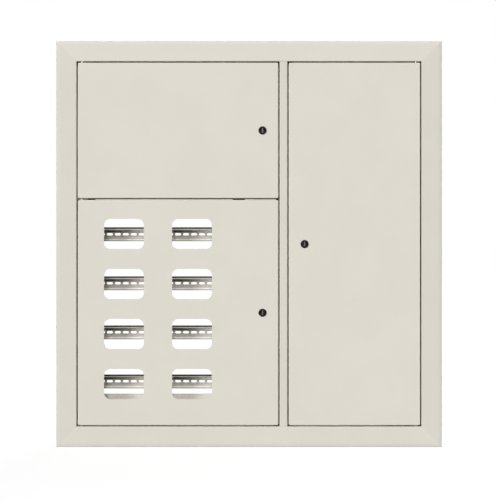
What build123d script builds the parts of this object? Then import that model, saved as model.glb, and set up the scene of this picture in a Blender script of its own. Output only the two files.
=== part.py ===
"""Flush floor distribution board: a folded steel box with an open back, a sloped trim frame,
two left doors (the lower one with eight windows in front of slotted rails) and a full-height right door.

X runs across the board, Y into the wall and Z up, in millimetres.  The origin is the middle of the rear
plane, between the four wall-fixing holes.  A depth is measured from the front plane towards the wall.
"""

import os
from collections import namedtuple

from build123d import *

# Overall size
overall_width = 950.0
overall_height = 1000.0
overall_depth = 140.0

# Sheet metal
sheet = 1.2
heavy_sheet = 1.5
bend = 2.0  # outside radius of a fold

# Trim frame
trim_face = 50.5  # from the outer edge to the door opening
trim_bevel = 8.0
trim_slope = 1.0  # how far the face falls back before the bevel
trim_bevel_drop = 1.2
trim_lip = 6.0  # edge that rests on the wall
trim_return = 31.2  # depth of the folded side of the door opening
trim_flange = 14.0

# Doors and their gaps
door_gap = 3.0
door_depth = 20.0
door_corner = 4.0
mullion_x = 85.0
mullion_face = 19.5
mullion_brim = 15.0
stop_clearance = 0.3
middle_gap_z = 110.5  # height of the gap between the two left doors
middle_gap = 4.1

# Windows of the lower door, and the rails behind them
window_width = 98.0
window_height = 74.0
window_corner = 15.0
window_column_inset = 113.7  # from the door's hinge edge to the middle of the first column
window_column_pitch = 167.5
window_top_drop = 83.65  # from the door's upper edge to the middle of the first row
window_pitch = 123.2
window_rows = 4
rail_column_pitch = 171.5
rail_height = 35.0
rail_inside = 25.0
rail_depth = 7.5
rail_sheet = 1.0
rail_bend = 1.8
rail_length = 150.0
rail_front = 63.0  # depth of the rail's two front flanges
rail_slot_length = 15.0
rail_slot_width = 6.0
rail_slot_pitch = 20.0
rail_slot_count = 7
rail_screw_span = 128.0

# Posts that carry the rails
post_depth = 15.0
side_post_width = 24.0
side_post_margin = 5.0  # how far a side post passes the outer rail screw
middle_post_width = 56.0
post_slot_length = 14.0
post_slot_width = 6.5

# Cable bar across the feet of the posts
cable_bar_height = 30.0
cable_bar_corner = 3.0
cable_bar_drop = 31.2  # from the middle of the lowest rails to the bar's upper edge
cable_slot_drop = 22.0  # from the bar's upper edge to the middle of its slots
cable_slot_length = 18.0
cable_slot_pitch = 28.0
cable_slot_count = 4

# Box walls
wall_margin = 14.3  # from the door opening to the inside of the wall
wall_front_edge = 2.0  # from the door opening to the edge of the wall's front flange
rear_flange = 40.0
fixing_hole_radius = 4.5
fixing_inset_x = 20.8  # from the inside of the walls to the fixing holes
fixing_inset_z = 63.8
corner_relief = 3.0
tab_length = 80.0
tab_height = 18.0
tab_screw_spacing = 40.0
partition_fold = 28.0  # feet of the partition on the top and bottom walls
partition_screw_inset = 9.0  # from the partition's left face
entry_length = 100.0
entry_width = 40.0
entry_depth = 95.0

# Shelf between the two left compartments
shelf_front = 3.0
shelf_rise = 0.35  # from the top of the lower door to the underside of the shelf
shelf_depth = 105.0
shelf_notch_depth = 15.0
hinge_notch = 46.0
middle_notch_x = -25.3
middle_notch_length = 30.6
lock_notch = 9.0
shelf_stop_height = 12.0  # upstand behind the upper door's lower edge
shelf_stop_leg = 15.0
shelf_stop_inset = 25.5  # from the side of the door opening, clear of the hinge edge as it swings
shelf_wing_depth = 33.0  # where the shelf widens behind the frame
shelf_tab_length = 43.2
shelf_screw_spacing = 21.6

# Pivot hinges
pin_radius = 2.5
pin_inset = 10.0  # from the door's hinge edge
pin_depth = 6.5
pin_head_radius = 4.0
pin_head_height = 2.5
pin_overrun = 2.0
pivot_tab_radius = 5.0
bush_radius = 3.5
bush_collar_radius = 4.4
bush_collar = 2.0
running_clearance = 0.05
seat_clearance = 0.3

# Quarter-turn locks
lock_inset = 39.0  # from the door's free edge
lock_head_radius = 10.0
lock_head_height = 2.0
lock_head_round = 0.8
lock_shank_radius = 8.0
lock_shank_length = 22.2
lock_well_radius = 6.75
lock_well_depth = 7.0
lock_hole_clearance = 0.2
key_bar_width = 3.0
key_bar_length = 11.0
key_bar_sunk = 1.0
core_radius = 4.5
core_square = 7.0
cam_thickness = 2.0
cam_reach = 39.0
cam_width = 14.0
cam_boss_radius = 9.0
cam_tip_round = 3.0
lock_nut_flats = 24.0
lock_nut_height = 4.0
lock_screw_length = 7.0

# Fasteners
screw_radius = 2.5
screw_head_radius = 4.5
screw_head_height = 2.6
screw_head_chamfer = 0.7
screw_length = 8.0
screw_hole_clearance = 0.1
frame_screw_spacing = 300.0
stud_radius = 3.0
stud_length = 16.0
stud_nut_flats = 10.0
stud_nut_height = 5.0
stud_washer_radius = 6.75
door_stud_inset = 60.0
door_stud_rise = 30.0
earth_bolt_radius = 4.0
earth_bolt_length = 28.0
earth_bolt_gap = 4.5  # from the back of the posts to the bolt's washer
earth_bolt_rise = 83.8  # above the inside of the bottom wall
earth_nut_flats = 13.0
earth_nut_height = 6.5
earth_washer_radius = 9.0
washer_height = 1.6

# Fittings behind the upper door and behind the right door
leg_screw_depth = 10.8  # from a strip's or plate's face to the screws in its legs
strip_face = 105.0
strip_height = 30.0
strip_leg = 18.0
neutral_strip_drop = 73.8  # from the inside of the top wall to the middle of the strip
earth_strip_drop = 233.8
strip_slot_length = 30.0
strip_slot_pitch = 60.0
strip_slot_count = 8
bar_length = 240.0
bar_height = 12.0
bar_thickness = 8.0
terminal_pitch = 26.0
terminal_count = 8
cable_hole_radius = 2.75
insulator_height = 25.0
insulator_radius = 10.0
insulator_waist = 7.5
insulator_spacing = 220.0
plate_face = 112.0
plate_height = 420.0
plate_leg = 18.0
plate_screw_spacing = 280.0
plate_slot_columns = 3
plate_slot_rows = 5
plate_slot_spacing_x = 100.0
plate_slot_spacing_z = 80.0

# Places worked out from the sizes above
front = -overall_depth
opening_x = overall_width / 2 - trim_face
opening_z = overall_height / 2 - trim_face
wall_x = opening_x + wall_margin
wall_z = opening_z + wall_margin
wall_front = trim_return
fold_room = sheet + bend
tab_middle = (wall_front + overall_depth) / 2
tab_screw_depths = (tab_middle - tab_screw_spacing / 2, tab_middle + tab_screw_spacing / 2)
mullion_left = mullion_x - mullion_face / 2
mullion_right = mullion_x + mullion_face / 2
stop_depth = door_depth + stop_clearance
partition_left = mullion_x - sheet / 2
partition_right = mullion_x + sheet / 2
upper_bottom = middle_gap_z + middle_gap / 2
lower_top = middle_gap_z - middle_gap / 2
shelf_bottom = lower_top + shelf_rise
shelf_top = shelf_bottom + heavy_sheet
shelf_tab_middle = (shelf_depth + shelf_wing_depth) / 2
rail_back = rail_front + rail_depth
hinge_edge = door_gap - opening_x
first_column = hinge_edge + window_column_inset
window_columns = (first_column, first_column + window_column_pitch)
columns_middle = sum(window_columns) / 2
rail_columns = (columns_middle - rail_column_pitch / 2, columns_middle + rail_column_pitch / 2)
rail_rows = [lower_top - window_top_drop - row * window_pitch for row in range(window_rows)]
cable_bar_top = rail_rows[-1] - cable_bar_drop
cable_bar_z = cable_bar_top - cable_bar_height / 2
earth_bolt_depth = rail_back + post_depth + earth_bolt_gap + earth_washer_radius
earth_bolt_z = earth_bolt_rise - wall_z
neutral_strip_z = wall_z - neutral_strip_drop
earth_strip_z = wall_z - earth_strip_drop
bar_x = (partition_left - wall_x) / 2
screw_hole = screw_radius + screw_hole_clearance
cam_front = lock_shank_length + stop_clearance

Door = namedtuple("Door", "name left right bottom top hinge gap_below")
doors = [
    Door("upper", hinge_edge, mullion_left - door_gap, upper_bottom, opening_z - door_gap,
         "left", upper_bottom - shelf_top),
    Door("lower", hinge_edge, mullion_left - door_gap, door_gap - opening_z, lower_top,
         "left", door_gap),
    Door("right", mullion_right + door_gap, opening_x - door_gap, door_gap - opening_z, opening_z - door_gap,
         "right", door_gap),
]

X, Y, Z = Vector(1, 0, 0), Vector(0, 1, 0), Vector(0, 0, 1)


def spot(x, depth, z):
    """Point at a depth behind the front plane."""
    return Vector(x, front + depth, z)


def section_plane(origin, across, inward):
    """Plane whose first axis runs across a section and whose second runs inward."""
    return Plane(origin=origin, x_dir=across, z_dir=across.cross(inward))


def facing(origin, direction):
    """Plane that looks along a direction, with its first axis along X where it can be."""
    return Plane(origin=origin, x_dir=Y if abs(direction.X) > 0.5 else X, z_dir=direction)


def area(left, right, near, far):
    """Rectangle between two places across the board and two depths."""
    return Pos((left + right) / 2, (near + far) / 2) * Rectangle(right - left, far - near)


def folded(points, thickness, plane, length, radius=bend):
    """Folded sheet whose outer face follows the points, with its thickness on their left."""
    line = FilletPolyline(*points, radius=radius)
    outline = Wire(line.edges()).offset_2d(thickness, side=Side.LEFT)
    return extrude(plane * Face(outline), length / 2, both=True)


def channel(plane, start, end, leg, thickness, length):
    """Folded channel with its web on the plane's first axis."""
    return folded([(start, leg), (start, 0), (end, 0), (end, leg)], thickness, plane, length)


def drilled(piece, seats, radius, depth=2 * screw_length):
    """Piece with a round hole at each seat."""
    return piece - [seat * Cylinder(radius, depth) for seat in seats]


def slots(plane, locations, length, width, depth):
    """Cutters for a pattern of round-ended slots."""
    pattern = Sketch() + [place * SlotOverall(length, width) for place in locations]
    return extrude(plane * pattern, depth, both=True)


def screw(radius=screw_radius, length=screw_length):
    """Pan-head screw that seats on its own XY plane, head up."""
    head = Pos(0, 0, screw_head_height / 2) * Cylinder(screw_head_radius, screw_head_height)
    head = chamfer(head.faces().sort_by(Axis.Z)[-1].edges(), screw_head_chamfer)
    return head + Pos(0, 0, -length / 2) * Cylinder(radius, length)


def group(solids):
    """Separate solids kept together in one node."""
    return Compound(children=list(solids))


def hexagon(flats, height, bore):
    """Hexagon nut that stands on its own XY plane."""
    profile = RegularPolygon(flats / 2, 6, major_radius=False) - Circle(bore)
    return extrude(profile, height)


# Screw seats, each a plane under a head that looks along the plane's Z

def frame_screw_seats():
    """Screws through the wall flanges into the trim frame."""
    depth = wall_front + sheet
    side = opening_x + wall_margin / 2
    end = opening_z + wall_margin / 2
    steps = (-frame_screw_spacing, 0, frame_screw_spacing)
    upright = [spot(x, depth, z) for x in (-side, side) for z in steps]
    level = [spot(x, depth, z) for z in (-end, end) for x in steps]
    return [facing(point, Y) for point in upright + level]


def corner_screw_seats():
    """Screws through the end tabs of the top and bottom walls into the side walls."""
    return [
        facing(spot(side * (wall_x - sheet), depth, end * (wall_z - tab_height / 2)), X * -side)
        for side in (-1, 1)
        for end in (-1, 1)
        for depth in tab_screw_depths
    ]


def shelf_screw_seats():
    """Screws through the shelf's end tabs into the left wall and the partition."""
    height = shelf_top - tab_height / 2
    depths = (shelf_tab_middle - shelf_screw_spacing / 2, shelf_tab_middle + shelf_screw_spacing / 2)
    left = [facing(spot(-wall_x + heavy_sheet, depth, height), X) for depth in depths]
    right = [facing(spot(partition_left - heavy_sheet, depth, height), X * -1) for depth in depths]
    return left + right


def partition_screw_seats():
    """Screws through the partition's folded ends into the top and bottom walls."""
    return [
        facing(spot(partition_left + partition_screw_inset, depth, end * (wall_z - sheet)), Z * -end)
        for end in (-1, 1)
        for depth in tab_screw_depths
    ]


def post_screw_seats(start, end):
    """Screws through a post's two feet."""
    middle = spot((start + end) / 2, rail_back + post_depth / 2, 0)
    low = middle + Z * (heavy_sheet - wall_z)
    high = middle + Z * (shelf_bottom - heavy_sheet)
    return [facing(low, Z), facing(high, Z * -1)]


def bridge_screw_seats(start, end, face, heights):
    """Screws through the legs of a strip or plate into the walls at its two ends."""
    depth = face + leg_screw_depth
    return [
        plane
        for height in heights
        for plane in (
            facing(spot(start + heavy_sheet, depth, height), X),
            facing(spot(end - heavy_sheet, depth, height), X * -1),
        )
    ]


def rail_screw_seats():
    """Screws through the end slots of the rails into the posts."""
    return [
        facing(spot(column + side * rail_screw_span / 2, rail_back - rail_sheet, row), Y * -1)
        for column in rail_columns
        for row in rail_rows
        for side in (-1, 1)
    ]


def cable_bar_seats():
    """Screws through the cable bar into the posts."""
    return [facing(spot((start + end) / 2, rail_back - heavy_sheet, cable_bar_z), Y * -1)
            for start, end in post_spans]


strip_seats = bridge_screw_seats(-wall_x, partition_left, strip_face, (neutral_strip_z, earth_strip_z))
plate_seats = bridge_screw_seats(partition_right, wall_x, plate_face,
                                 (-plate_screw_spacing / 2, plate_screw_spacing / 2))
left_wall_seats = corner_screw_seats() + shelf_screw_seats() + strip_seats
right_wall_seats = corner_screw_seats() + plate_seats
left_post_end = rail_columns[0] - rail_screw_span / 2 + side_post_margin
right_post_start = rail_columns[1] + rail_screw_span / 2 - side_post_margin
post_spans = [
    (left_post_end - side_post_width, left_post_end),
    (columns_middle - middle_post_width / 2, columns_middle + middle_post_width / 2),
    (right_post_start, right_post_start + side_post_width),
]
post_seats = [seat for span in post_spans for seat in post_screw_seats(*span)]


# Trim frame and mullion

def pin_x(door):
    """Place of a door's pivot across the board."""
    return door.left + pin_inset if door.hinge == "left" else door.right - pin_inset


def trim_member(across, along, reach, span):
    """One mitred side of the trim; reach and span are the opening's half sizes across and along it."""
    bevel_start = trim_face - trim_bevel
    bevel_end = trim_slope + trim_bevel_drop
    points = [
        (reach + trim_flange, trim_return),
        (reach, trim_return),
        (reach, 0),
        (reach + bevel_start, trim_slope),
        (reach + trim_face, bevel_end),
        (reach + trim_face, bevel_end + trim_lip),
    ]
    length = 2 * (span + trim_face)
    member = folded(points, sheet, section_plane(spot(0, 0, 0), across, Y), length)
    for end in (along, along * -1):
        mitre = Plane(origin=across * reach + end * span, z_dir=end - across)
        member = split(member, mitre, keep=Keep.BOTTOM)
    return drilled(member, frame_screw_seats(), screw_hole)


def pivot_holes(member):
    """Trim rail with the holes of its two pivot pins."""
    return member - [Pos(spot(pin_x(door), pin_depth, 0)) * Cylinder(pin_radius, 2 * overall_height)
                     for door in doors[1:]]


def mullion():
    """Hat section whose brims stop the doors' free edges."""
    half = mullion_face / 2
    points = [
        (-half - mullion_brim, stop_depth),
        (-half, stop_depth),
        (-half, 0),
        (half, 0),
        (half, stop_depth),
        (half + mullion_brim, stop_depth),
    ]
    return folded(points, sheet, section_plane(spot(mullion_x, 0, 0), X, Y), 2 * opening_z)


# Box walls

def wall_sheet(across, reach, length):
    """Wall with a front flange for the trim and a rear flange on the niche wall."""
    points = [
        (reach - wall_margin + wall_front_edge, wall_front),
        (reach + sheet, wall_front),
        (reach + sheet, overall_depth),
        (reach + sheet - rear_flange, overall_depth),
    ]
    return folded(points, sheet, section_plane(spot(0, 0, 0), across, Y), length)


def side_wall(across, seats):
    """Side wall with the holes that fix the board to the niche."""
    wall = wall_sheet(across, wall_x, 2 * (wall_z + sheet))
    fixings = [
        facing(Vector(side * (wall_x - fixing_inset_x), 0, end * (wall_z - fixing_inset_z)), Y)
        for side in (-1, 1)
        for end in (-1, 1)
    ]
    wall = drilled(wall, seats + frame_screw_seats(), screw_hole)
    return drilled(wall, fixings, fixing_hole_radius)


def end_wall(across):
    """Top or bottom wall, with end tabs on the side walls and cable entries between the posts."""
    wall = wall_sheet(across, wall_z, 2 * (wall_x - corner_relief))
    fold = fold_room + corner_relief
    front_gap = wall_x - opening_x - wall_front_edge + sheet
    for side in (-1, 1):
        near = (side * (wall_x - front_gap / 2), front + wall_front)
        far = (side * (wall_x - rear_flange / 2), 0)
        wall -= Pos(*near, 0) * Box(front_gap, 2 * fold, 2 * overall_height)
        wall -= Pos(*far, 0) * Box(rear_flange, 2 * fold, 2 * overall_height)
    tabs = section_plane(spot(0, tab_middle, 0) + across * (wall_z + sheet), X, across * -1)
    wall += channel(tabs, -wall_x, wall_x, tab_height, sheet, tab_length)
    middles = (*window_columns, (mullion_x + opening_x) / 2)
    entries = [facing(spot(x, entry_depth, 0) + across * wall_z, Z) for x in middles]
    wall -= [slots(entry, [Pos(0, 0)], entry_length, entry_width, tab_height) for entry in entries]
    seats = frame_screw_seats() + corner_screw_seats() + partition_screw_seats() + post_seats
    return drilled(wall, seats, screw_hole)


def partition():
    """Sheet between the mains side and the low-current side, welded into the mullion."""
    inner = section_plane(spot(partition_left, 0, 0), Y, Z)
    nose_start, nose_end = sheet, wall_front + fold_room
    nose = Pos((nose_start + nose_end) / 2, 0) * Rectangle(nose_end - nose_start, 2 * opening_z)
    rear_end = overall_depth - sheet - stop_clearance
    body = Pos((nose_end + rear_end) / 2, 0) * Rectangle(rear_end - nose_end, 2 * (wall_z - corner_relief))
    plate = extrude(inner * (nose + body), sheet)
    ends = section_plane(spot(partition_left, tab_middle, 0), Z, X)
    plate += channel(ends, -wall_z, wall_z, partition_fold, sheet, tab_length)
    seats = partition_screw_seats() + shelf_screw_seats() + strip_seats + plate_seats
    return drilled(plate, seats, screw_hole)


def shelf():
    """Shelf between the left compartments; its notched front edge shows between the doors."""
    top = Plane(origin=spot(0, 0, shelf_bottom), x_dir=X, z_dir=Z)
    left = stop_clearance - opening_x
    right = mullion_left - lock_notch
    brim_back = stop_depth + sheet + stop_clearance
    outline = area(left, right, shelf_front, shelf_wing_depth)
    outline += area(left, partition_left, brim_back, shelf_wing_depth)
    outline += area(corner_relief - wall_x, partition_left - corner_relief, shelf_wing_depth, shelf_depth)
    notch_end = shelf_front + shelf_notch_depth
    outline -= area(left, hinge_notch - opening_x, shelf_front, notch_end)
    outline -= area(middle_notch_x - middle_notch_length / 2, middle_notch_x + middle_notch_length / 2,
                    shelf_front, notch_end)
    outline -= area(mullion_left - mullion_brim - stop_clearance, right,
                    stop_depth - stop_clearance, brim_back)
    pivot = pin_x(doors[0])
    outline += area(pivot - pivot_tab_radius, pivot + pivot_tab_radius, pin_depth, notch_end)
    outline += Pos(pivot, pin_depth) * Circle(pivot_tab_radius)
    outline -= Pos(pivot, pin_depth) * Circle(pin_radius)
    plate = extrude(top * outline, heavy_sheet)
    tabs = section_plane(spot(0, shelf_tab_middle, shelf_top), X, Z * -1)
    plate += channel(tabs, -wall_x, partition_left, tab_height, heavy_sheet, shelf_tab_length)
    return drilled(plate + shelf_stop(), shelf_screw_seats() + post_seats, screw_hole)


def shelf_stop():
    """Angle welded on the shelf, which stops the upper door and closes the view through the gap."""
    left = shelf_stop_inset - opening_x
    right = mullion_left - mullion_brim - stop_clearance
    points = [
        (stop_depth, shelf_stop_height),
        (stop_depth, 0),
        (stop_depth + shelf_stop_leg, 0),
    ]
    return folded(points, sheet, section_plane(spot((left + right) / 2, 0, shelf_top), Y, Z), right - left)


# Rails, posts and fittings

def rail():
    """Slotted top-hat rail, centred on the origin of its row and column."""
    half, inside = rail_height / 2, rail_inside / 2
    web = rail_back - rail_sheet
    points = [
        (-half, rail_front),
        (-inside, rail_front),
        (-inside, web),
        (inside, web),
        (inside, rail_front),
        (half, rail_front),
    ]
    bar = folded(points, rail_sheet, section_plane(spot(0, 0, 0), Z, Y), rail_length, rail_bend)
    places = GridLocations(rail_slot_pitch, 1, rail_slot_count, 1)
    return bar - slots(facing(spot(0, web, 0), Y), places, rail_slot_length, rail_slot_width, rail_depth)


def post(start, end):
    """Channel post from the bottom wall to the shelf, with a foot at each end."""
    low, high = -wall_z, shelf_bottom
    middle = (low + high) / 2
    beam = channel(section_plane(spot(0, rail_back, middle), X, Y), start, end, post_depth, heavy_sheet,
                   high - low)
    foot = area(start + heavy_sheet, end - heavy_sheet, rail_back + heavy_sheet, rail_back + post_depth)
    for height in (low, high - heavy_sheet):
        beam += extrude(Plane(origin=spot(0, 0, height), x_dir=X, z_dir=Z) * foot, heavy_sheet)
    centre = (start + end) / 2
    gaps = [(rail_rows[row] + rail_rows[row + 1]) / 2 for row in range(window_rows - 1)]
    slot_plane = Plane(origin=spot(centre, rail_back, 0), x_dir=Z, z_dir=Y)
    beam -= slots(slot_plane, [Pos(gap, 0) for gap in gaps], post_slot_length, post_slot_width, heavy_sheet)
    seats = post_screw_seats(start, end) + rail_screw_seats() + cable_bar_seats()
    return drilled(beam, seats, screw_hole)


def cable_bar():
    """Slotted strip on the posts, to which the cables under the rails are tied."""
    start, end = post_spans[0][0], post_spans[-1][1]
    face = facing(spot((start + end) / 2, rail_back, cable_bar_z), Y * -1)
    strip = extrude(face * RectangleRounded(end - start, cable_bar_height, cable_bar_corner), heavy_sheet)
    places = GridLocations(cable_slot_pitch, 1, cable_slot_count, 1)
    for column in rail_columns:
        row = facing(spot(column, rail_back, cable_bar_top - cable_slot_drop), Y)
        strip -= slots(row, places, cable_slot_length, post_slot_width, 2 * heavy_sheet)
    return drilled(strip, cable_bar_seats(), screw_hole)


def bridge(start, end, face, leg, height, middle_z):
    """Flat strip or plate with a leg folded back at each end."""
    return channel(section_plane(spot(0, face, middle_z), X, Y), start, end, leg, heavy_sheet, height)


def mounting_strip(height):
    """Slotted strip across the upper left compartment."""
    strip = bridge(-wall_x, partition_left, strip_face, strip_leg, strip_height, height)
    places = GridLocations(strip_slot_pitch, 1, strip_slot_count, 1)
    strip -= slots(facing(spot(bar_x, strip_face, height), Y), places, strip_slot_length,
                   post_slot_width, heavy_sheet)
    return drilled(strip, strip_seats, screw_hole)


def equipment_plate():
    """Slotted plate behind the right door."""
    plate = bridge(partition_right, wall_x, plate_face, plate_leg, plate_height, 0)
    middle = (partition_right + wall_x) / 2
    places = GridLocations(plate_slot_spacing_x, plate_slot_spacing_z, plate_slot_columns, plate_slot_rows)
    plate -= slots(facing(spot(middle, plate_face, 0), Y), places, strip_slot_length,
                   post_slot_width, heavy_sheet)
    return drilled(plate, plate_seats, screw_hole)


def terminal_seats(bar_front, height):
    """Seats of the clamping screws along a bar."""
    first = bar_x - terminal_pitch * (terminal_count - 1) / 2
    return [facing(spot(first + step * terminal_pitch, bar_front, height), Y * -1)
            for step in range(terminal_count)]


def terminal_bar(bar_front, height):
    """Brass bar with a cable hole under each clamping screw."""
    bar = Pos(spot(bar_x, bar_front + bar_thickness / 2, height)) * Box(bar_length, bar_thickness, bar_height)
    seats = terminal_seats(bar_front, height)
    cable = [Pos(seat.origin + Y * bar_thickness / 2) * Cylinder(cable_hole_radius, 2 * bar_height)
             for seat in seats]
    return drilled(bar - cable, seats, screw_hole, bar_thickness)


def insulators():
    """Waisted insulators that hold the neutral bar off its strip."""
    half = insulator_height / 2
    with BuildSketch(Plane.XZ) as profile:
        with BuildLine():
            Polyline((insulator_radius, half), (0, half), (0, -half), (insulator_radius, -half))
            ThreePointArc((insulator_radius, -half), (insulator_waist, 0), (insulator_radius, half))
        make_face()
    body = revolve(profile.sketch, Axis.Z)
    middle = strip_face - half
    return group(
        facing(spot(bar_x + side * insulator_spacing / 2, middle, neutral_strip_z), Y) * body
        for side in (-1, 1)
    )


def earth_set(plane, radius, length, washer_radius, nut_flats, nut_height):
    """Earthing stud with its washer and nut, standing on a plane."""
    stud = Pos(0, 0, length / 2) * Cylinder(radius, length)
    nut_base = length / 2 - nut_height
    washer = extrude(Circle(washer_radius) - Circle(radius), washer_height)
    nut = hexagon(nut_flats, nut_height, radius)
    return group([plane * stud, plane * (Pos(0, 0, nut_base - washer_height) * washer),
                  plane * (Pos(0, 0, nut_base) * nut)])


# Doors, hinges and locks

def lock_plane(door):
    """Plane on the door's face at its lock, with Z towards the wall and Y down."""
    x = door.right - lock_inset if door.hinge == "left" else door.left + lock_inset
    return Plane(origin=spot(x, 0, (door.bottom + door.top) / 2), x_dir=X, z_dir=Y)


def door_panel(door):
    """Folded pan, open at the back, with holes for its lock and its two bushes."""
    width, height = door.right - door.left, door.top - door.bottom
    face = Plane(origin=spot((door.left + door.right) / 2, 0, (door.bottom + door.top) / 2), x_dir=X, z_dir=Y)
    block = extrude(RectangleRounded(width, height, door_corner), door_depth)
    block = fillet(block.faces().sort_by(Axis.Z)[0].edges(), bend)
    pan = offset(block, amount=-sheet, openings=block.faces().sort_by(Axis.Z)[-1])
    pan = face * pan
    pan -= lock_plane(door) * Cylinder(lock_shank_radius + lock_hole_clearance, door_depth)
    return pan - Pos(spot(pin_x(door), pin_depth, face.origin.Z)) * Cylinder(bush_radius, 2 * height)


def windowed(panel):
    """Lower door panel with its windows cut out."""
    outline = RectangleRounded(window_width, window_height, window_corner)
    cutter = extrude(Plane.XZ * outline, door_depth / 2, both=True)
    return panel - [Pos(spot(column, 0, row)) * cutter for column in window_columns for row in rail_rows]


def bushes(door):
    """Nylon bushes: the upper one's collar is inside the pan, the lower one's carries the door."""
    x = pin_x(door)
    carrier = door.gap_below - seat_clearance
    pieces = []
    for base, collar, collar_base in (
        (door.top - sheet, bush_collar, door.top - sheet - bush_collar),
        (door.bottom, carrier, door.bottom - carrier),
    ):
        sleeve = Pos(0, 0, base) * extrude(Circle(bush_radius), sheet)
        sleeve += Pos(0, 0, collar_base) * extrude(Circle(bush_collar_radius), collar)
        sleeve -= Pos(0, 0, base) * Cylinder(pin_radius + running_clearance, door_depth)
        pieces.append(Pos(spot(x, pin_depth, 0)) * sleeve)
    return group(pieces)


def hinge_pins():
    """Headed pins through the trim rails, one above and one below each side of the opening."""
    reach = door_gap + sheet + bush_collar + pin_overrun
    shank = Pos(0, 0, sheet - (reach + sheet) / 2) * Cylinder(pin_radius, reach + sheet)
    pin = shank + Pos(0, 0, sheet + pin_head_height / 2) * Cylinder(pin_head_radius, pin_head_height)
    return group(
        facing(spot(pin_x(door), pin_depth, end * opening_z), Z * end) * pin
        for door in doors[1:]
        for end in (-1, 1)
    )


def middle_pin():
    """Pin in the shelf's pivot tab that both left doors turn on."""
    low = lower_top - sheet - bush_collar - pin_overrun
    high = upper_bottom + sheet + pin_overrun
    return Pos(spot(pin_x(doors[0]), pin_depth, (low + high) / 2)) * Cylinder(pin_radius, high - low)


def lock_housing(door):
    """Moulded lock body: round head, open key well and a bore for the core."""
    bore = core_radius + running_clearance
    head_front = -lock_head_height
    rounded = lock_head_radius - lock_head_round
    round_start = head_front + lock_head_round
    with BuildSketch(Plane.XZ) as profile:
        with BuildLine():
            Polyline((rounded, head_front), (lock_well_radius, head_front),
                     (lock_well_radius, lock_well_depth), (bore, lock_well_depth),
                     (bore, lock_shank_length), (lock_shank_radius, lock_shank_length),
                     (lock_shank_radius, 0), (lock_head_radius, 0), (lock_head_radius, round_start))
            RadiusArc((lock_head_radius, round_start), (rounded, head_front), lock_head_round)
        make_face()
    return lock_plane(door) * revolve(profile.sketch, Axis.Z)


def lock_nut(door):
    """Nut that holds the housing against the inside of the door."""
    nut = hexagon(lock_nut_flats, lock_nut_height, lock_shank_radius + running_clearance)
    return lock_plane(door) * (Pos(0, 0, sheet) * nut)


def lock_core(door):
    """Turning core with the upright key bar in front and a square for the cam behind."""
    bar_base = lock_well_depth - 2 * running_clearance
    bar_height = bar_base + lock_head_height - key_bar_sunk
    core = Pos(0, 0, bar_base - bar_height / 2) * Box(key_bar_width, key_bar_length, bar_height)
    core += Pos(0, 0, (bar_base + cam_front) / 2) * Cylinder(core_radius, cam_front - bar_base)
    core += Pos(0, 0, cam_front + cam_thickness / 2) * Box(core_square, core_square, cam_thickness)
    seat = facing(Vector(0, 0, cam_front + cam_thickness), Z)
    return lock_plane(door) * drilled(core, [seat], screw_hole)


def lock_cam(door):
    """Tongue that turns behind the mullion's brim; it hangs down when the door is free."""
    arm = Pos(0, cam_reach / 2) * Rectangle(cam_width, cam_reach)
    arm = fillet(arm.vertices().group_by(Axis.Y)[-1], cam_tip_round)
    outline = arm + Circle(cam_boss_radius) - Rectangle(core_square, core_square)
    return lock_plane(door) * (Pos(0, 0, cam_front) * extrude(outline, cam_thickness))


def lock_screw(door):
    """Screw that holds the cam on the core."""
    return lock_plane(door) * (Pos(0, 0, cam_front + cam_thickness) * screw(length=lock_screw_length))


def door_stud(door):
    """Earthing stud on the inside of a door, near its hinge."""
    x = pin_x(door) + (door_stud_inset if door.hinge == "left" else -door_stud_inset)
    plane = facing(spot(x, sheet, door.bottom + door_stud_rise), Y)
    return earth_set(plane, stud_radius, stud_length, stud_washer_radius, stud_nut_flats, stud_nut_height)


def cabinet_pieces():
    """Everything that stays with the wall."""
    neutral_front = strip_face - insulator_height - bar_thickness
    earth_front = strip_face - bar_thickness
    pieces = {
        "frame_top_rail": pivot_holes(trim_member(Z, X, opening_z, opening_x)),
        "frame_bottom_rail": pivot_holes(trim_member(Z * -1, X, opening_z, opening_x)),
        "frame_left_stile": trim_member(X * -1, Z, opening_x, opening_z),
        "frame_right_stile": trim_member(X, Z, opening_x, opening_z),
        "mullion": mullion(),
        "cross_shelf": shelf(),
        "top_wall": end_wall(Z),
        "bottom_wall": end_wall(Z * -1),
        "left_side_wall": side_wall(X * -1, left_wall_seats),
        "right_side_wall": side_wall(X, right_wall_seats),
        "partition_wall": partition(),
        "upper_mounting_strip": mounting_strip(neutral_strip_z),
        "lower_mounting_strip": mounting_strip(earth_strip_z),
        "neutral_bar": terminal_bar(neutral_front, neutral_strip_z),
        "neutral_insulators": insulators(),
        "earth_bar": terminal_bar(earth_front, earth_strip_z),
        "terminal_screws": group(seat * screw(length=bar_thickness / 2) for seat in
                                 terminal_seats(neutral_front, neutral_strip_z)
                                 + terminal_seats(earth_front, earth_strip_z)),
        "equipment_plate": equipment_plate(),
        "frame_screws": group(seat * screw() for seat in frame_screw_seats()),
        "wall_screws": group(seat * screw() for seat in corner_screw_seats() + shelf_screw_seats()
                             + partition_screw_seats() + strip_seats + plate_seats + post_seats),
        "rail_screws": group(seat * screw() for seat in rail_screw_seats() + cable_bar_seats()),
        "cable_bar": cable_bar(),
        "main_earth_bolt": earth_set(facing(spot(-wall_x, earth_bolt_depth, earth_bolt_z), X),
                                     earth_bolt_radius, earth_bolt_length, earth_washer_radius,
                                     earth_nut_flats, earth_nut_height),
        "hinge_pins": hinge_pins(),
        "middle_hinge_pin": middle_pin(),
    }
    for name, span in zip(("left_post", "middle_post", "right_post"), post_spans):
        pieces[name] = post(*span)
    one_rail = rail()
    for side, column in zip(("left", "right"), rail_columns):
        for row, height in enumerate(rail_rows, start=1):
            pieces[f"{side}_rail_{row}"] = Pos(column, 0, height) * one_rail
    return pieces


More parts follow.
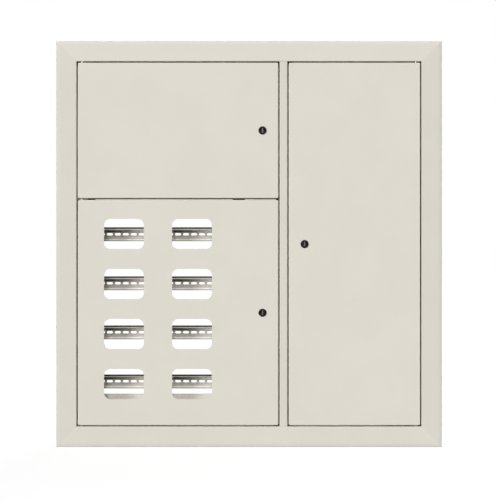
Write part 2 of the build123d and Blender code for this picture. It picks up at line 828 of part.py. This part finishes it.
def door_pieces(door):
    """A door with its bushes, stud and lock."""
    panel = door_panel(door)
    return {
        f"{door.name}_door_panel": windowed(panel) if door.name == "lower" else panel,
        f"{door.name}_door_bushes": bushes(door),
        f"{door.name}_door_stud": door_stud(door),
        f"{door.name}_lock_housing": lock_housing(door),
        f"{door.name}_lock_nut": lock_nut(door),
        f"{door.name}_lock_core": lock_core(door),
        f"{door.name}_lock_cam": lock_cam(door),
        f"{door.name}_lock_screw": lock_screw(door),
    }


def main():
    """Write one file per piece."""
    os.makedirs("parts", exist_ok=True)
    pieces = cabinet_pieces()
    for door in doors:
        pieces.update(door_pieces(door))
    for name, piece in pieces.items():
        export_step(piece, f"parts/{name}.step")
    print(len(pieces), "pieces")


main()
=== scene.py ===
"""Looks of the flush floor distribution board: finishes, detailed fasteners and a plain studio.

Sizes are in metres in the part's own frame: X across the board, Y into the wall and Z up.
"""

import math

import bpy
from mathutils import Matrix, Vector


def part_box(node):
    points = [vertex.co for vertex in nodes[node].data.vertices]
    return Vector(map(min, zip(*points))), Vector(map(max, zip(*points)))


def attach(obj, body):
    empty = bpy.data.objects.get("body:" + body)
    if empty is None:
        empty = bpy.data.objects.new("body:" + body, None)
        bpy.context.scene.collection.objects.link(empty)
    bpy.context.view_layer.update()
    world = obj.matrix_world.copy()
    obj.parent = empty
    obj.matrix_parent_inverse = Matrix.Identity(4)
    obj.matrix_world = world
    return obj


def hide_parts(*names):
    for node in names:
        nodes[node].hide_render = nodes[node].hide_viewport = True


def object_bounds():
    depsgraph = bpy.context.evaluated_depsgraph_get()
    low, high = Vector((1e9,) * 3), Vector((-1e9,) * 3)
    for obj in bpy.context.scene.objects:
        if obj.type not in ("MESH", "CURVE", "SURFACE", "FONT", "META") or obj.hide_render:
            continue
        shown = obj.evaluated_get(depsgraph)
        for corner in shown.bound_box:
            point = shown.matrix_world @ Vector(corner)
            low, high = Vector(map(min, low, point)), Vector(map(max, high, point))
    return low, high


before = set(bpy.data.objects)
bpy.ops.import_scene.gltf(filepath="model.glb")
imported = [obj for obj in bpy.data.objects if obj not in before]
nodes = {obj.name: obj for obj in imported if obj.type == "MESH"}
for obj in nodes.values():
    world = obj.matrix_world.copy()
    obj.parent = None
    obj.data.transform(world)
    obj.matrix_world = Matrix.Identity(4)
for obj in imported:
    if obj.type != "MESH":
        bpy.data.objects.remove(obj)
cad_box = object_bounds()

mm = 0.001
doors = ("upper", "lower", "right")
front_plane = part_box("mullion")[0].y


# Materials

roll_line_size = (60 * mm, 0.8 * mm, 0.8 * mm)  # wider than real rolling lines, so that they show
roll_line_height = 0.03 * mm


def linear(hex_colour):
    """Linear colour of an sRGB hex value."""
    channels = [int(hex_colour[start:start + 2], 16) / 255 for start in (1, 3, 5)]
    return [c / 12.92 if c <= 0.04045 else ((c + 0.055) / 1.055) ** 2.4 for c in channels] + [1.0]


def link(tree, node, sources):
    """Link sources to a node's sockets, which go by name, or by number where several share a name."""
    for name, source in sources.items():
        tree.links.new(source, node.inputs[name])


def add(tree, kind, settings=None, links=None, stops=None):
    """Add a node with its settings, the links into it and, for a ramp, its colour stops."""
    node = tree.nodes.new(kind)
    for name, value in (settings or {}).items():
        if isinstance(name, int) or name in node.inputs:
            node.inputs[name].default_value = value
        else:
            setattr(node, name, value)
    link(tree, node, links or {})
    for index, (position, hex_colour) in enumerate(stops or ()):
        elements = node.color_ramp.elements
        element = elements[index] if index < len(elements) else elements.new(position)
        element.position = position
        element.color = linear(hex_colour)
    return node


def start_finish(name, settings):
    """Empty material with its shader and Object coordinates."""
    material = bpy.data.materials.new(name)
    material.use_nodes = True
    tree = material.node_tree
    tree.nodes.clear()
    surface = add(tree, "ShaderNodeBsdfPrincipled", settings)
    add(tree, "ShaderNodeOutputMaterial", links={"Surface": surface.outputs["BSDF"]})
    place = add(tree, "ShaderNodeTexCoord").outputs["Object"]
    return material, tree, surface, place


def powder_coat(name, pale, deep):
    """Polyester powder sprayed on steel and baked: an even satin coat with a fine orange peel.

    The colour is darkened with depth inside the door rebates, as painted shade in the gaps. The peel
    is drawn 3 mm wide, about twice the real size, so that it shows close up.
    """
    cloud_size, peel_size, peel_height = 90 * mm, 3 * mm, 0.05 * mm
    rebate_start, rebate_middle, rebate_end, blur = 2.5 * mm, 15 * mm, 30 * mm, 2 * mm
    deepest = rebate_end + blur
    # Painted shade: tones that darken the colour with depth inside the door rebates
    unshaded_tone, rebate_shade_tone, deep_rebate_shade_tone = "#FFFFFF", "#C2C0BA", "#B2B0AA"
    rebate_shade_stops = [(rebate_start, unshaded_tone), (rebate_start + blur, rebate_shade_tone), (rebate_middle, rebate_shade_tone),
             (rebate_middle + blur, deep_rebate_shade_tone), (rebate_end, deep_rebate_shade_tone), (deepest, unshaded_tone)]
    material, tree, surface, place = start_finish(name, {"IOR": 1.5, "Specular IOR Level": 0.25})
    cloud = add(tree, "ShaderNodeTexNoise", {"Scale": 1 / cloud_size, "Detail": 2.0}, {"Vector": place})
    colour = add(tree, "ShaderNodeValToRGB", links={"Fac": cloud.outputs["Fac"]},
                 stops=[(0.35, pale), (0.65, deep)])
    depth = add(tree, "ShaderNodeSeparateXYZ", links={"Vector": place})
    share = add(tree, "ShaderNodeMapRange", {"From Min": front_plane, "From Max": front_plane + deepest},
                {"Value": depth.outputs["Y"]})
    # Painted shade in the rebates, from 2.5 mm behind the front
    coat = add(tree, "ShaderNodeValToRGB", links={"Fac": share.outputs["Result"]},
               stops=[(reach / deepest, tone) for reach, tone in rebate_shade_stops])
    rebate_shaded_colour = add(tree, "ShaderNodeMix", {"data_type": "RGBA", "blend_type": "MULTIPLY", 0: 1.0},
                  {6: colour.outputs["Color"], 7: coat.outputs["Color"]})
    peel = add(tree, "ShaderNodeTexNoise", {"Scale": 1 / peel_size, "Detail": 2.0}, {"Vector": place})
    roughness = add(tree, "ShaderNodeMapRange", {"To Min": 0.6, "To Max": 0.72},
                    {"Value": peel.outputs["Fac"]})
    bump = add(tree, "ShaderNodeBump", {"Strength": 0.2, "Distance": peel_height},
               {"Height": peel.outputs["Fac"]})
    link(tree, surface, {"Base Color": rebate_shaded_colour.outputs[2], "Roughness": roughness.outputs["Result"],
                         "Normal": bump.outputs["Normal"]})
    return material


def galvanised_sheet():
    """Galvanised steel strip, rolled and dulled: grey zinc flowers 5 mm wide and fine rolling lines."""
    flower_size = 5 * mm
    material, tree, surface, place = start_finish("galvanised_steel", {"Specular IOR Level": 0.15})
    flowers = add(tree, "ShaderNodeTexVoronoi", {"Scale": 1 / flower_size}, {"Vector": place})
    shade = add(tree, "ShaderNodeRGBToBW", links={"Color": flowers.outputs["Color"]})
    colour = add(tree, "ShaderNodeValToRGB", links={"Fac": shade.outputs["Val"]},
                 stops=[(0.2, "#CFCCC4"), (0.8, "#D7D4CC")])
    roughness = add(tree, "ShaderNodeMapRange", {"To Min": 0.42, "To Max": 0.58},
                    {"Value": shade.outputs["Val"]})
    stretched = add(tree, "ShaderNodeMapping", {"Scale": [1 / size for size in roll_line_size]},
                    {"Vector": place})
    lines = add(tree, "ShaderNodeTexNoise", {"Scale": 1.0, "Detail": 2.0},
                {"Vector": stretched.outputs["Vector"]})
    bump = add(tree, "ShaderNodeBump", {"Strength": 0.15, "Distance": roll_line_height},
               {"Height": lines.outputs["Fac"]})
    link(tree, surface, {"Base Color": colour.outputs["Color"], "Roughness": roughness.outputs["Result"],
                         "Normal": bump.outputs["Normal"]})
    return material


def rail_steel_with_painted_light():
    """Zinc-plated rail strip, cold rolled: a grey web, a pale lower bend and a bare, burnished upper bend.

    The upper brim and the web just below its bend are darkened as painted shade, deepest at the left
    end of each rail and fading towards the right; the pale lower bend is a painted highlight. The tones
    follow the section, so they repeat at each rail, and fine rolling lines run along it.
    """
    low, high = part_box("left_rail_1")
    row_pitch = low.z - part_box("left_rail_2")[0].z
    column_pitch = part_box("right_rail_1")[0].x - low.x
    half_height = (high.z - low.z) / 2
    # Painted shade darkens the web from 5 mm above the middle up to the upper bend, and the upper brim
    lower_bend_start, lower_bend_end, upper_shade_start = -14.7 * mm, -12.0 * mm, 5.0 * mm
    upper_bend_start, upper_bend_end, blur = 10.7 * mm, 13.7 * mm, 0.2 * mm
    # Painted shade fades out along each rail between these two places, from its left end to the right
    shade_fade_start, shade_fade_end = -35 * mm, 42 * mm
    burnish = 0.2
    edges = (lower_bend_start, lower_bend_end, upper_shade_start, upper_bend_start, upper_bend_end)
    # Tones between those edges, from the lower brim up to the upper one; the pale lower bend is painted
    # highlight, and the dark upper web and brim are painted shade, deeper in the left-hand tones
    shaded_left_tones = ("#A6A49C", "#EBE8E0", "#B4B0AA", "#5A5654", "#F4F0E8", "#302E2B")
    lighter_right_tones = ("#A6A49C", "#EBE8E0", "#C4C0B9", "#DCD8D0", "#F4F0E8", "#524E4B")
    material, tree, surface, place = start_finish("rail_steel_with_painted_light", {"Specular IOR Level": 0.15})
    centred = add(tree, "ShaderNodeMapping",
                  {"Location": (-(low.x + high.x) / 2, 0, -(low.z + high.z) / 2)}, {"Vector": place})
    spot = add(tree, "ShaderNodeSeparateXYZ", links={"Vector": centred.outputs["Vector"]})
    across = add(tree, "ShaderNodeMath", {"operation": "WRAP", 1: row_pitch / 2, 2: -row_pitch / 2},
                 {0: spot.outputs["Z"]})
    along = add(tree, "ShaderNodeMath", {"operation": "WRAP", 1: column_pitch / 2, 2: -column_pitch / 2},
                {0: spot.outputs["X"]})
    share = add(tree, "ShaderNodeMapRange", {"From Min": -half_height, "From Max": half_height},
                {"Value": across.outputs["Value"]})
    # Share of the lighter tones along each rail: the painted shade fades towards the right
    shade_fade = add(tree, "ShaderNodeMapRange", {"From Min": shade_fade_start, "From Max": shade_fade_end},
                {"Value": along.outputs["Value"]})
    strips = []
    for tones in (shaded_left_tones, lighter_right_tones):
        stops = [((edge + half_height + shift) / (2 * half_height), tone)
                 for edge, before, after in zip(edges, tones, tones[1:])
                 for shift, tone in ((-blur, before), (blur, after))]
        strips.append(add(tree, "ShaderNodeValToRGB", links={"Fac": share.outputs["Result"]}, stops=stops))
    colour = add(tree, "ShaderNodeMix", {"data_type": "RGBA"},
                 {0: shade_fade.outputs["Result"], 6: strips[0].outputs["Color"], 7: strips[1].outputs["Color"]})
    into_bend = add(tree, "ShaderNodeMapRange",
                    {"From Min": upper_bend_start - blur, "From Max": upper_bend_start + blur},
                    {"Value": across.outputs["Value"]})
    out_of_bend = add(tree, "ShaderNodeMapRange",
                      {"From Min": upper_bend_end + blur, "From Max": upper_bend_end - blur},
                      {"Value": across.outputs["Value"]})
    bare = add(tree, "ShaderNodeMath", {"operation": "MULTIPLY"},
               {0: into_bend.outputs["Result"], 1: out_of_bend.outputs["Result"]})
    stretched = add(tree, "ShaderNodeMapping", {"Scale": [1 / size for size in roll_line_size]},
                    {"Vector": place})
    lines = add(tree, "ShaderNodeTexNoise", {"Scale": 1.0, "Detail": 2.0},
                {"Vector": stretched.outputs["Vector"]})
    bump = add(tree, "ShaderNodeBump", {"Strength": 0.15, "Distance": roll_line_height},
               {"Height": lines.outputs["Fac"]})
    dull = add(tree, "ShaderNodeMapRange", {"To Min": 0.42, "To Max": 0.58},
               {"Value": lines.outputs["Fac"]})
    roughness = add(tree, "ShaderNodeMath", {"operation": "MULTIPLY_ADD", 1: -burnish},
                    {0: bare.outputs["Value"], 2: dull.outputs["Result"]})
    link(tree, surface, {"Base Color": colour.outputs[2], "Metallic": bare.outputs["Value"],
                         "Roughness": roughness.outputs["Value"], "Normal": bump.outputs["Normal"]})
    return material


def zinc_plate():
    """Zinc-plated and passivated steel, barrel plated: bright blue-grey with cloudy patches 2 mm wide."""
    cloud_size = 2 * mm
    material, tree, surface, place = start_finish("zinc_plate", {"Metallic": 1.0})
    cloud = add(tree, "ShaderNodeTexNoise", {"Scale": 1 / cloud_size, "Detail": 3.0}, {"Vector": place})
    colour = add(tree, "ShaderNodeValToRGB", links={"Fac": cloud.outputs["Fac"]},
                 stops=[(0.3, "#B4B6B5"), (0.7, "#CBCCC8")])
    roughness = add(tree, "ShaderNodeMapRange", {"To Min": 0.25, "To Max": 0.42},
                    {"Value": cloud.outputs["Fac"]})
    link(tree, surface, {"Base Color": colour.outputs["Color"], "Roughness": roughness.outputs["Result"]})
    return material


def lock_core_casting():
    """Die-cast zinc core: a worn grey key bar with painted shade on the shaft behind it, and a fine casting
    grain.
    """
    grain_size, grain_height = 0.6 * mm, 0.03 * mm  # coarser than real, so that it shows
    bar_root, blur = front_plane + 6 * mm, 0.5 * mm
    material, tree, surface, place = start_finish("lock_core_casting", {"Metallic": 0.4})
    depth = add(tree, "ShaderNodeSeparateXYZ", links={"Vector": place})
    # Painted shade: the shaft deeper than the key bar is darkened to near black
    painted_shade_share = add(tree, "ShaderNodeMapRange", {"From Min": bar_root - blur, "From Max": bar_root},
                 {"Value": depth.outputs["Y"]})
    colour = add(tree, "ShaderNodeValToRGB", links={"Fac": painted_shade_share.outputs["Result"]},
                 stops=[(0.0, "#5A5454"), (1.0, "#1A1817")])
    grain = add(tree, "ShaderNodeTexNoise", {"Scale": 1 / grain_size, "Detail": 2.0}, {"Vector": place})
    roughness = add(tree, "ShaderNodeMapRange", {"To Min": 0.35, "To Max": 0.55},
                    {"Value": grain.outputs["Fac"]})
    bump = add(tree, "ShaderNodeBump", {"Strength": 0.2, "Distance": grain_height},
               {"Height": grain.outputs["Fac"]})
    link(tree, surface, {"Base Color": colour.outputs["Color"], "Roughness": roughness.outputs["Result"],
                         "Normal": bump.outputs["Normal"]})
    return material


def black_nylon():
    """Glass-filled black nylon, moulded: a dull black with a fine grain, and a thread on the shank."""
    grain_size, grain_height = 0.7 * mm, 0.04 * mm  # coarser than real, so that it shows
    ridge_pitch, ridge_height = 1 * mm, 0.3 * mm
    wave_period = 2 * math.pi / 20  # in metres, of a wave texture of scale 1
    material, tree, surface, place = start_finish("black_nylon", {"IOR": 1.53, "Specular IOR Level": 0.15})
    grain = add(tree, "ShaderNodeTexNoise", {"Scale": 1 / grain_size, "Detail": 3.0}, {"Vector": place})
    colour = add(tree, "ShaderNodeValToRGB", links={"Fac": grain.outputs["Fac"]},
                 stops=[(0.3, "#0B0909"), (0.7, "#161312")])
    roughness = add(tree, "ShaderNodeMapRange", {"To Min": 0.4, "To Max": 0.55},
                    {"Value": grain.outputs["Fac"]})
    fine = add(tree, "ShaderNodeBump", {"Strength": 0.3, "Distance": grain_height},
               {"Height": grain.outputs["Fac"]})
    thread = add(tree, "ShaderNodeTexWave", {"bands_direction": "Y", "Scale": wave_period / ridge_pitch},
                 {"Vector": place})
    ridged = add(tree, "ShaderNodeBump", {"Strength": 0.6, "Distance": ridge_height},
                 {"Height": thread.outputs["Fac"], "Normal": fine.outputs["Normal"]})
    link(tree, surface, {"Base Color": colour.outputs["Color"], "Roughness": roughness.outputs["Result"],
                         "Normal": ridged.outputs["Normal"]})
    return material


def moulded_plastic(name, pale, deep, grain_size):
    """Moulded plastic: an even colour with slight flow marks and a soft sheen."""
    grain_height = 0.03 * mm
    material, tree, surface, place = start_finish(name, {"IOR": 1.53})
    grain = add(tree, "ShaderNodeTexNoise", {"Scale": 1 / grain_size, "Detail": 3.0}, {"Vector": place})
    colour = add(tree, "ShaderNodeValToRGB", links={"Fac": grain.outputs["Fac"]},
                 stops=[(0.3, pale), (0.7, deep)])
    roughness = add(tree, "ShaderNodeMapRange", {"To Min": 0.32, "To Max": 0.45},
                    {"Value": grain.outputs["Fac"]})
    bump = add(tree, "ShaderNodeBump", {"Strength": 0.15, "Distance": grain_height},
               {"Height": grain.outputs["Fac"]})
    link(tree, surface, {"Base Color": colour.outputs["Color"], "Roughness": roughness.outputs["Result"],
                         "Normal": bump.outputs["Normal"]})
    return material


def drawn_brass():
    """Drawn brass bar: warm yellow metal with draw lines along its length, 0.4 mm apart."""
    draw_line_size, draw_line_height = (40 * mm, 0.4 * mm, 0.4 * mm), 0.02 * mm
    material, tree, surface, place = start_finish("drawn_brass", {"Metallic": 1.0})
    stretched = add(tree, "ShaderNodeMapping", {"Scale": [1 / size for size in draw_line_size]},
                    {"Vector": place})
    lines = add(tree, "ShaderNodeTexNoise", {"Scale": 1.0, "Detail": 2.0},
                {"Vector": stretched.outputs["Vector"]})
    colour = add(tree, "ShaderNodeValToRGB", links={"Fac": lines.outputs["Fac"]},
                 stops=[(0.3, "#B8964C"), (0.7, "#D0B06A")])
    roughness = add(tree, "ShaderNodeMapRange", {"To Min": 0.22, "To Max": 0.4},
                    {"Value": lines.outputs["Fac"]})
    bump = add(tree, "ShaderNodeBump", {"Strength": 0.2, "Distance": draw_line_height},
               {"Height": lines.outputs["Fac"]})
    link(tree, surface, {"Base Color": colour.outputs["Color"], "Roughness": roughness.outputs["Result"],
                         "Normal": bump.outputs["Normal"]})
    return material


def dress(material, *names):
    """Give CAD nodes or pieces one finish."""
    for name in names:
        slots = bpy.data.objects[name].data.materials
        slots.clear()
        slots.append(material)


# Fasteners

head_height = 2.6 * mm
head_round = 1.1 * mm
head_round_steps = 4
recess_width = 1.1 * mm
recess_length = 4.6 * mm
recess_depth = 1.6 * mm
recess_taper = 0.55
shank_radius = 2.5 * mm
thread_pitch = 0.8 * mm
thread_depth = 0.35 * mm
round_sides = 24
merge_distance = 0.001 * mm
smooth_angle = math.radians(35)
rim_share = 0.95  # of a screw's radius, past which only its head reaches
facing = 0.9  # part of a flat face's normal that points along Z


def pick(*objects):
    """Select these objects alone, the first one active."""
    if bpy.context.mode != "OBJECT":
        bpy.ops.object.mode_set(mode="OBJECT")
    bpy.ops.object.select_all(action="DESELECT")
    for item in objects:
        item.select_set(True)
    bpy.context.view_layer.objects.active = objects[0]


def select_faces(piece, test):
    """In edit mode on the piece, select the faces that pass the test."""
    pick(piece)
    bpy.ops.object.mode_set(mode="EDIT")
    bpy.ops.mesh.select_mode(type="FACE")
    bpy.ops.mesh.select_all(action="DESELECT")
    bpy.ops.object.mode_set(mode="OBJECT")
    for face in piece.data.polygons:
        face.select = test(face)
    bpy.ops.object.mode_set(mode="EDIT")


def loose_solids(node):
    """Vertex places of each separate solid in a CAD node, read from a merged copy."""
    copy = nodes[node].copy()
    copy.data = nodes[node].data.copy()
    bpy.context.collection.objects.link(copy)
    pick(copy)
    bpy.ops.object.mode_set(mode="EDIT")
    bpy.ops.mesh.select_all(action="SELECT")
    bpy.ops.mesh.remove_doubles(threshold=merge_distance)
    bpy.ops.mesh.separate(type="LOOSE")
    bpy.ops.object.mode_set(mode="OBJECT")
    solids = [[vertex.co.copy() for vertex in item.data.vertices] for item in bpy.context.selected_objects]
    bpy.ops.object.delete()
    return solids


def screw_seat(points):
    """Matrix of a screw's seat, its head along Z, with the head's radius and the shank's length."""
    low = Vector([min(p[i] for p in points) for i in range(3)])
    high = Vector([max(p[i] for p in points) for i in range(3)])
    size = high - low
    middle = (low + high) / 2
    width = sorted(size)[1]
    axis = max(range(3), key=lambda i: abs(size[i] - width))
    sides = [i for i in range(3) if i != axis]
    rim = [p[axis] for p in points
           if math.dist([p[i] for i in sides], [middle[i] for i in sides]) > rim_share * width / 2]
    side = 1 if sum(rim) / len(rim) > middle[axis] else -1
    up = Vector([side if i == axis else 0 for i in range(3)])
    seat = middle + up * (size[axis] / 2 - head_height)
    matrix = Matrix.Translation(seat) @ up.to_track_quat("Z", "Y").to_matrix().to_4x4()
    return matrix, width / 2, size[axis] - head_height


def pan_head(radius):
    """Round screw head with a domed rim and a cross recess, standing on the XY plane."""
    bpy.ops.mesh.primitive_cylinder_add(vertices=round_sides, radius=radius, depth=head_height,
                                        location=(0, 0, head_height / 2))
    head = bpy.context.active_object
    bpy.ops.object.transform_apply(location=True)
    select_faces(head, lambda face: face.normal.z > facing)
    bpy.ops.mesh.bevel(offset=head_round, segments=head_round_steps, affect="EDGES")
    bpy.ops.object.mode_set(mode="OBJECT")
    for turn in (0, math.pi / 2):
        bpy.ops.mesh.primitive_cube_add(size=1, location=(0, 0, head_height), rotation=(0, 0, turn),
                                        scale=(recess_length, recess_width, 2 * recess_depth))
        cutter = bpy.context.active_object
        bpy.ops.object.transform_apply(location=True, rotation=True, scale=True)
        select_faces(cutter, lambda face: face.normal.z < -facing)
        bpy.ops.transform.resize(value=(recess_taper, recess_taper, 1))
        pick(head)
        cut = head.modifiers.new("recess", "BOOLEAN")
        cut.operation = "DIFFERENCE"
        cut.object = cutter
        bpy.ops.object.modifier_apply(modifier=cut.name)
        bpy.data.objects.remove(cutter)
    return head


def threaded_shank(length):
    """Threaded shank that hangs from the XY plane and ends in a small point."""
    narrow = (shank_radius - thread_depth) / shank_radius
    bpy.ops.mesh.primitive_circle_add(vertices=round_sides // 2, radius=shank_radius, fill_type="NGON")
    shank = bpy.context.active_object
    pick(shank)
    bpy.ops.object.mode_set(mode="EDIT")
    bpy.ops.mesh.select_all(action="SELECT")
    for _ in range(int(length / thread_pitch)):
        for scale in (narrow, 1 / narrow):
            bpy.ops.mesh.extrude_region_move(TRANSFORM_OT_translate={"value": (0, 0, -thread_pitch / 2)})
            bpy.ops.transform.resize(value=(scale, scale, 1))
    bpy.ops.mesh.extrude_region_move(TRANSFORM_OT_translate={"value": (0, 0, -(length % thread_pitch))})
    bpy.ops.transform.resize(value=(narrow, narrow, 1))
    bpy.ops.mesh.select_all(action="SELECT")
    bpy.ops.mesh.normals_make_consistent(inside=False)
    bpy.ops.object.mode_set(mode="OBJECT")
    return shank


def screw_set(name, node, body):
    """Cross-head screws in the places of a CAD node's plain ones."""
    solids = loose_solids(node)
    _, head_radius, shank_length = screw_seat(solids[0])
    head = pan_head(head_radius)
    shank = threaded_shank(shank_length)
    pick(head, shank)
    bpy.ops.object.join()
    copies = []
    for points in solids:
        copy = head.copy()
        copy.data = head.data.copy()
        copy.data.transform(screw_seat(points)[0])
        bpy.context.collection.objects.link(copy)
        copies.append(copy)
    bpy.data.objects.remove(head)
    pick(*copies)
    if len(copies) > 1:
        bpy.ops.object.join()
    piece = bpy.context.active_object
    piece.name = name
    bpy.ops.object.shade_smooth_by_angle(angle=smooth_angle)
    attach(piece, body)
    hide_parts(node)
    return piece


zinc = zinc_plate()
fasteners = [screw_set(f"{node}_cross_head", node, "cabinet")
             for node in ("frame_screws", "wall_screws", "rail_screws", "terminal_screws")]
fasteners += [screw_set(f"{door}_lock_screw_cross_head", f"{door}_lock_screw", f"{door}_lock")
              for door in doors]
dress(zinc, *(piece.name for piece in fasteners))


# Finishes of the CAD nodes; the uprights have a coat that is a shade deeper than the rest

panel_paint = powder_coat("powder_coat_panel", "#DEDACF", "#DCD8CD")
upright_paint = powder_coat("powder_coat_upright", "#DAD6CB", "#D8D4C9")
rails = [f"{side}_rail_{row}" for side in ("left", "right") for row in (1, 2, 3, 4)]
dress(panel_paint, "frame_top_rail", "frame_bottom_rail", "cross_shelf", "top_wall", "bottom_wall",
      "left_side_wall", "right_side_wall", "partition_wall", *(f"{door}_door_panel" for door in doors))
dress(upright_paint, "frame_left_stile", "frame_right_stile", "mullion")
dress(galvanised_sheet(), "left_post", "middle_post", "right_post", "cable_bar", "upper_mounting_strip",
      "lower_mounting_strip", "equipment_plate")
dress(rail_steel_with_painted_light(), *rails)
dress(zinc, "main_earth_bolt", "hinge_pins", "middle_hinge_pin",
      *(f"{door}_{piece}" for door in doors for piece in ("door_stud", "lock_nut", "lock_cam")))
dress(black_nylon(), *(f"{door}_lock_housing" for door in doors))
dress(lock_core_casting(), *(f"{door}_lock_core" for door in doors))
# The bushes' nylon is darkened to a grey-brown as painted shade, well below its own off-white
dress(moulded_plastic("nylon_with_painted_shade", "#8E897E", "#827D72", grain_size=1.5 * mm),
      *(f"{door}_door_bushes" for door in doors))
dress(moulded_plastic("blue_polyamide", "#2F5A94", "#2A5086", grain_size=2 * mm), "neutral_insulators")
dress(drawn_brass(), "neutral_bar", "earth_bar")


# Studio

photo_pixels = 500  # the photograph's longer side
focal_pixels = 1300
sensor = 36.0
face_distance = 3.2
view_x = -2.5 * mm
view_z = -14.8 * mm
ambient = 0.045
floor_glow = 0.88
floor_size = 30.0
floor_drop = 0.5 * mm
white = linear("#FFFFFF")
floor_grey = linear("#757575")


def camera():
    """Camera square in front of the board, as in the photograph."""
    data = bpy.data.cameras.new("camera")
    data.sensor_width = sensor
    data.lens = focal_pixels / photo_pixels * sensor
    item = bpy.data.objects.new("camera", data)
    item.location = (view_x, front_plane - face_distance, view_z)
    item.rotation_euler = (math.pi / 2, 0, 0)
    bpy.context.collection.objects.link(item)
    bpy.context.scene.camera = item


def seen_white(tree):
    """Strength that is 1 for camera, glossy and transmission rays and 0 for the rest."""
    path = add(tree, "ShaderNodeLightPath")
    seen = add(tree, "ShaderNodeMath", {"operation": "MAXIMUM"},
               {0: path.outputs["Is Camera Ray"], 1: path.outputs["Is Glossy Ray"]})
    passed = add(tree, "ShaderNodeMath", {"operation": "MAXIMUM"},
                 {0: seen.outputs["Value"], 1: path.outputs["Is Transmission Ray"]})
    return passed.outputs["Value"]


def studio_world():
    """Even pale surroundings that look white behind the board."""
    world = bpy.data.worlds.new("studio")
    world.use_nodes = True
    tree = world.node_tree
    tree.nodes.clear()
    strength = add(tree, "ShaderNodeMapRange", {"To Min": ambient, "To Max": 1.0},
                   {"Value": seen_white(tree)})
    background = add(tree, "ShaderNodeBackground", {"Color": white},
                     {"Strength": strength.outputs["Result"]})
    add(tree, "ShaderNodeOutputWorld", links={"Surface": background.outputs["Background"]})
    bpy.context.scene.world = world


def studio_floor():
    """Pale floor under the board that keeps a faint shadow."""
    bpy.ops.mesh.primitive_plane_add(size=floor_size, location=(0, 0, cad_box[0][2] - floor_drop))
    floor = bpy.context.active_object
    floor.name = "floor"
    material = bpy.data.materials.new("pale_floor")
    material.use_nodes = True
    tree = material.node_tree
    tree.nodes.clear()
    matt = add(tree, "ShaderNodeBsdfDiffuse", {"Color": floor_grey})
    strength = add(tree, "ShaderNodeMapRange", {"To Min": 0.0, "To Max": floor_glow},
                   {"Value": seen_white(tree)})
    glow = add(tree, "ShaderNodeEmission", {"Color": white}, {"Strength": strength.outputs["Result"]})
    both = add(tree, "ShaderNodeAddShader", links={0: matt.outputs["BSDF"], 1: glow.outputs["Emission"]})
    add(tree, "ShaderNodeOutputMaterial", links={"Surface": both.outputs["Shader"]})
    floor.data.materials.append(material)


def soft_sun(name, direction, strength, angle):
    """Large even light that shines along a direction, its size given as an angle in degrees."""
    data = bpy.data.lights.new(name, "SUN")
    data.energy = strength
    data.angle = math.radians(angle)
    item = bpy.data.objects.new(name, data)
    item.rotation_euler = Vector(direction).to_track_quat("-Z", "Y").to_euler()
    bpy.context.collection.objects.link(item)


camera()
studio_world()
studio_floor()
soft_sun("left_softbox", direction=(0.95, 1.0, -0.35), strength=1.82, angle=20)
soft_sun("top_softbox", direction=(0.0, 1.0, -0.55), strength=1.73, angle=16)
soft_sun("rear_fill", direction=(-0.8, -1.0, -0.7), strength=2.7, angle=60)
bpy.context.scene.view_settings.view_transform = "Standard"
